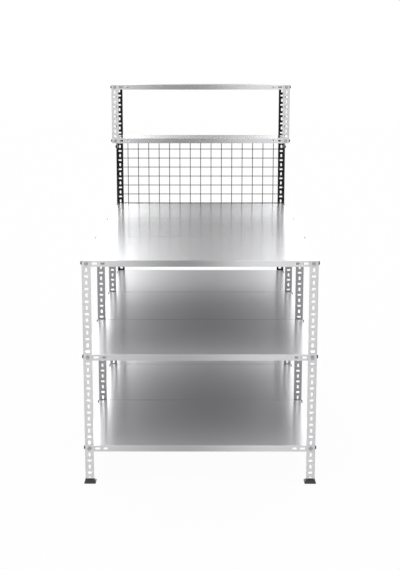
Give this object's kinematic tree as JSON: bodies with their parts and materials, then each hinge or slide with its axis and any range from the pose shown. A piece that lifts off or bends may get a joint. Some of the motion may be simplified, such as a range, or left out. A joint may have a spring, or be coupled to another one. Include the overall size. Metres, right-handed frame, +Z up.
{
  "type": "potting bench",
  "caption": "Long galvanised potting bench of slotted-angle uprights and folded steel panels, with raised rear shelves and a welded wire back panel.",
  "frame": {"origin": "on the floor, at the bottom centre of the bench's bounding box", "axes": "+X to the bench's right seen from its open end, +Y from the open end towards the raised shelves, +Z up"},
  "size_m": [0.9306, 1.8518, 1.558],
  "materials": {
    "galvanised_steel": "satin galvanised",
    "black_steel": "satin black",
    "zinc_hardware": "zinc plated",
    "galvanised_wire": "galvanised wire",
    "black_plastic": "fine matt"
  },
  "bodies": {
    "root": {"bottom_bolt_front_left": "zinc_hardware", "bottom_bolt_front_right": "zinc_hardware", "bottom_bolt_side_left": "zinc_hardware", "bottom_bolt_side_right": "zinc_hardware", "bottom_panel_back": "galvanised_steel", "bottom_panel_centre": "galvanised_steel", "bottom_panel_front": "galvanised_steel", "front_foot_left": "black_plastic", "front_foot_right": "black_plastic", "front_upright_left": "galvanised_steel", "front_upright_right": "galvanised_steel", "gusset_bolt_left": "zinc_hardware", "gusset_bolt_right": "zinc_hardware", "gusset_left": "galvanised_steel", "gusset_right": "galvanised_steel", "middle_bolt_front_left": "zinc_hardware", "middle_bolt_front_right": "zinc_hardware", "middle_bolt_side_left": "zinc_hardware", "middle_bolt_side_right": "zinc_hardware", "middle_panel_back": "galvanised_steel", "middle_panel_centre": "galvanised_steel", "middle_panel_front": "galvanised_steel", "rear_foot_left": "black_plastic", "rear_foot_right": "black_plastic", "rear_upright_left": "black_steel", "rear_upright_right": "black_steel", "second_foot_left": "black_plastic", "second_foot_right": "black_plastic", "second_shelf": "galvanised_steel", "second_shelf_bolt_front_left": "zinc_hardware", "second_shelf_bolt_front_right": "zinc_hardware", "second_shelf_bolt_side_left": "zinc_hardware", "second_shelf_bolt_side_right": "zinc_hardware", "second_upright_left": "galvanised_steel", "second_upright_right": "galvanised_steel", "shelf_upright_left": "galvanised_steel", "shelf_upright_right": "galvanised_steel", "third_foot_left": "black_plastic", "third_foot_right": "black_plastic", "third_upright_left": "galvanised_steel", "third_upright_right": "galvanised_steel", "top_shelf": "galvanised_steel", "top_shelf_bolt_front_left": "zinc_hardware", "top_shelf_bolt_front_right": "zinc_hardware", "top_shelf_bolt_side_left": "zinc_hardware", "top_shelf_bolt_side_right": "zinc_hardware", "wire_panel": "galvanised_wire", "wire_panel_bolt_left": "zinc_hardware", "wire_panel_bolt_right": "zinc_hardware", "wire_panel_washer_left": "zinc_hardware", "wire_panel_washer_right": "zinc_hardware", "worktop_bolt_front_left": "zinc_hardware", "worktop_bolt_front_right": "zinc_hardware", "worktop_bolt_side_left": "zinc_hardware", "worktop_bolt_side_right": "zinc_hardware", "worktop_panel_back": "galvanised_steel", "worktop_panel_centre": "galvanised_steel", "worktop_panel_front": "galvanised_steel"}
  },
  "joints": []
}
